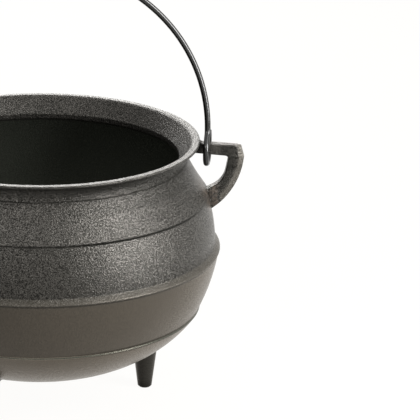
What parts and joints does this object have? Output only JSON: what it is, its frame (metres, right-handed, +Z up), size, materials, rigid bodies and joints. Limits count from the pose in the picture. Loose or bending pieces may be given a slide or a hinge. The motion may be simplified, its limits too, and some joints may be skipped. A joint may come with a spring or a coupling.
{
  "type": "three-legged cooking pot",
  "caption": "Three-legged cast iron potjie pot with flared lip, ringed round belly, two cast-on ears and a swinging wire bail; open top, no lid.",
  "frame": {"origin": "bottom centre: on the floor, under the middle of the pot", "axes": "+Z up, ears and hinge along X, pot's front towards -Y"},
  "size_m": [0.3438, 0.3052, 0.376],
  "materials": {
    "iron": "sand-cast, grey-brown, softly glossy",
    "wire": "black, semi-gloss"
  },
  "bodies": {
    "pot": {"pot": "iron"},
    "bail": {"bail": "wire"}
  },
  "joints": [
    {"name": "bail_swing", "type": "hinge", "parent": "pot", "child": "bail", "pos_m": [0, 0, 0.21688], "axis": [1, 0, 0], "range_deg": [-109, 109]}
  ]
}
